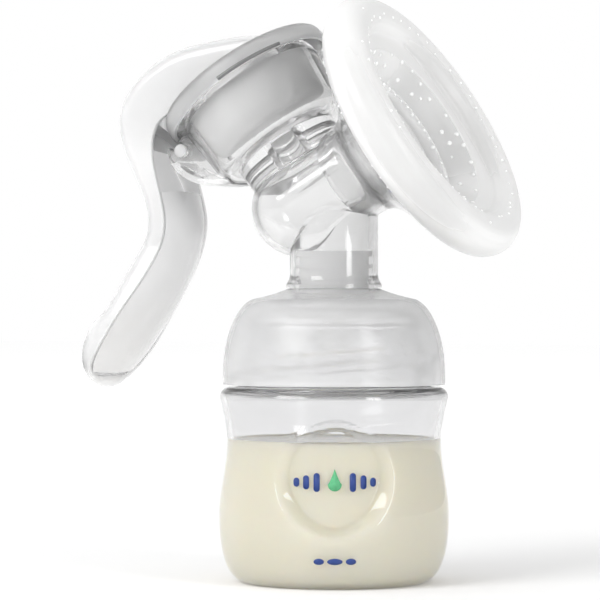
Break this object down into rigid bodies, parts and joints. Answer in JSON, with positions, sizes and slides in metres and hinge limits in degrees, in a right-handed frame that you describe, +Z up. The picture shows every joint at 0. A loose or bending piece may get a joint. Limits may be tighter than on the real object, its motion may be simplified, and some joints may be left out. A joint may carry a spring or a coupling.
{
  "type": "manual breast pump",
  "caption": "Hand-worked breast pump: squeezing the lever pulls a soft diaphragm up a clear chamber behind a padded funnel, above a bottle of milk closed by a screw collar.",
  "frame": {"origin": "centre of the bottle's flat base, on the surface it stands on", "axes": "+Z up along the bottle's axis, +X towards the funnel's side, the handle is on the -X side"},
  "size_m": [0.1322, 0.0864, 0.1717],
  "materials": {
    "clear_plastic": "clear, glossy",
    "milk": "smooth liquid",
    "frosted_plastic": "frosted",
    "white_silicone": "matte",
    "cushion_silicone": "matte, slightly translucent",
    "clear_silicone": "translucent",
    "white_plastic": "glossy",
    "grip_plastic": "satin"
  },
  "bodies": {
    "bottle": {"bottle": "clear_plastic", "milk": "milk"},
    "pump_body": {"pump_body": "clear_plastic", "valve": "white_silicone", "cushion": "cushion_silicone", "diaphragm": "clear_silicone"},
    "screw_collar": {"screw_collar": "frosted_plastic"},
    "handle": {"handle_shell": "white_plastic", "handle_cover": "grip_plastic"},
    "stem": {"stem": "clear_plastic"}
  },
  "joints": [
    {"name": "body_lift", "type": "slide", "parent": "bottle", "child": "pump_body", "axis": [0, 0, 1], "range_m": [0, 0.00705]},
    {"name": "collar_unscrew", "type": "hinge", "parent": "pump_body", "child": "screw_collar", "pos_m": [0, 0, 0.07], "axis": [0, 0, 1], "range_deg": [0, 180]},
    {"name": "handle_squeeze", "type": "hinge", "parent": "pump_body", "child": "handle", "pos_m": [-0.04601, 0, 0.12754], "axis": [0, -1, 0], "range_deg": [0, 16], "stiffness_Nm_per_rad": 2, "springref_deg": -2.86},
    {"name": "stem_pull", "type": "slide", "parent": "pump_body", "child": "stem", "axis": [-0.5807, 0, 0.8141], "range_m": [0, 0.008], "deforming": ["diaphragm"]}
  ],
  "couplings": [
    {"joint": "body_lift", "follows": "collar_unscrew", "m_per_rad": 0.0022282},
    {"joint": "stem_pull", "follows": "handle_squeeze", "m_per_rad": 0.0284}
  ]
}
